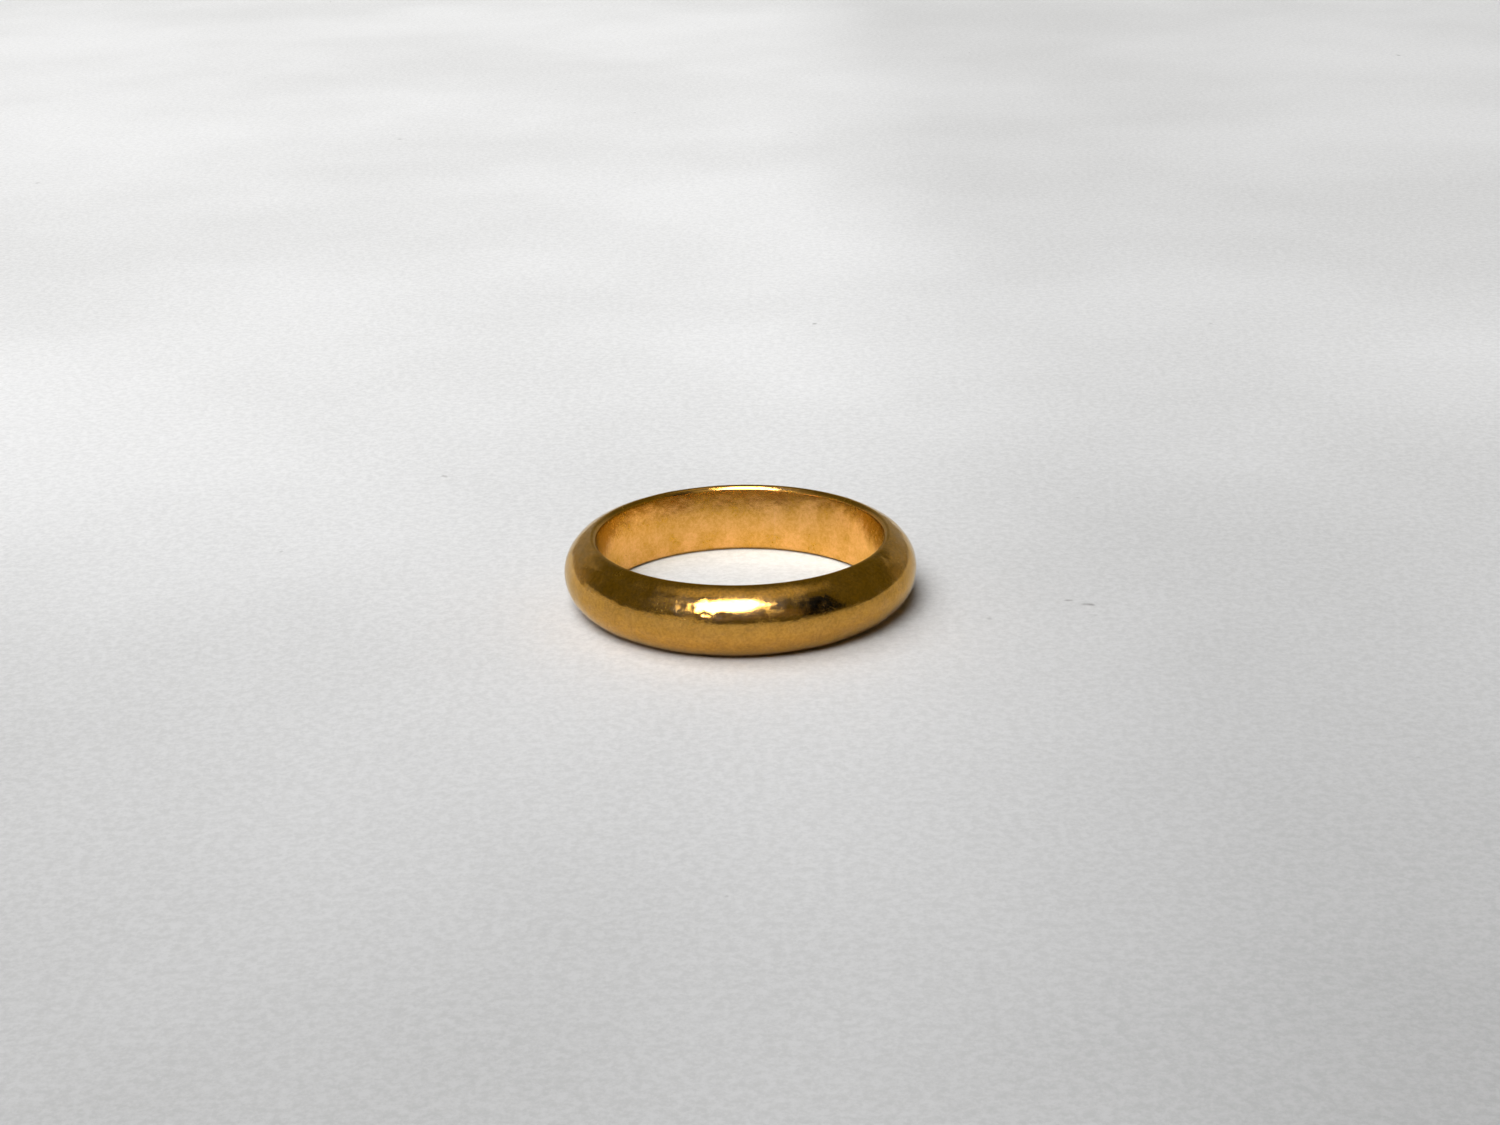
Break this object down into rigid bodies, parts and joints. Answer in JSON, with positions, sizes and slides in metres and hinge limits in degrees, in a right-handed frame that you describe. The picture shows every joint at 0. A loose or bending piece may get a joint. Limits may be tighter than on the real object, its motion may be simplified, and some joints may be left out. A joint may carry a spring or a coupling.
{
  "type": "wedding band",
  "caption": "Plain half-round gold finger ring: domed and polished outside, flat satin bore with eased edges, ends joined by solder.",
  "frame": {"origin": "centre of the finger bore, at half the band's width", "axes": "+Z along the bore axis; the band lies flat on its -Z edge; the solder joint is 75 degrees from +X towards +Y"},
  "size_m": [0.0202, 0.0202, 0.004],
  "materials": {
    "yellow_gold": "polished dome, satin bore",
    "gold_solder": "polished"
  },
  "bodies": {
    "root": {"shank": "yellow_gold", "solder_joint": "gold_solder"}
  },
  "joints": []
}
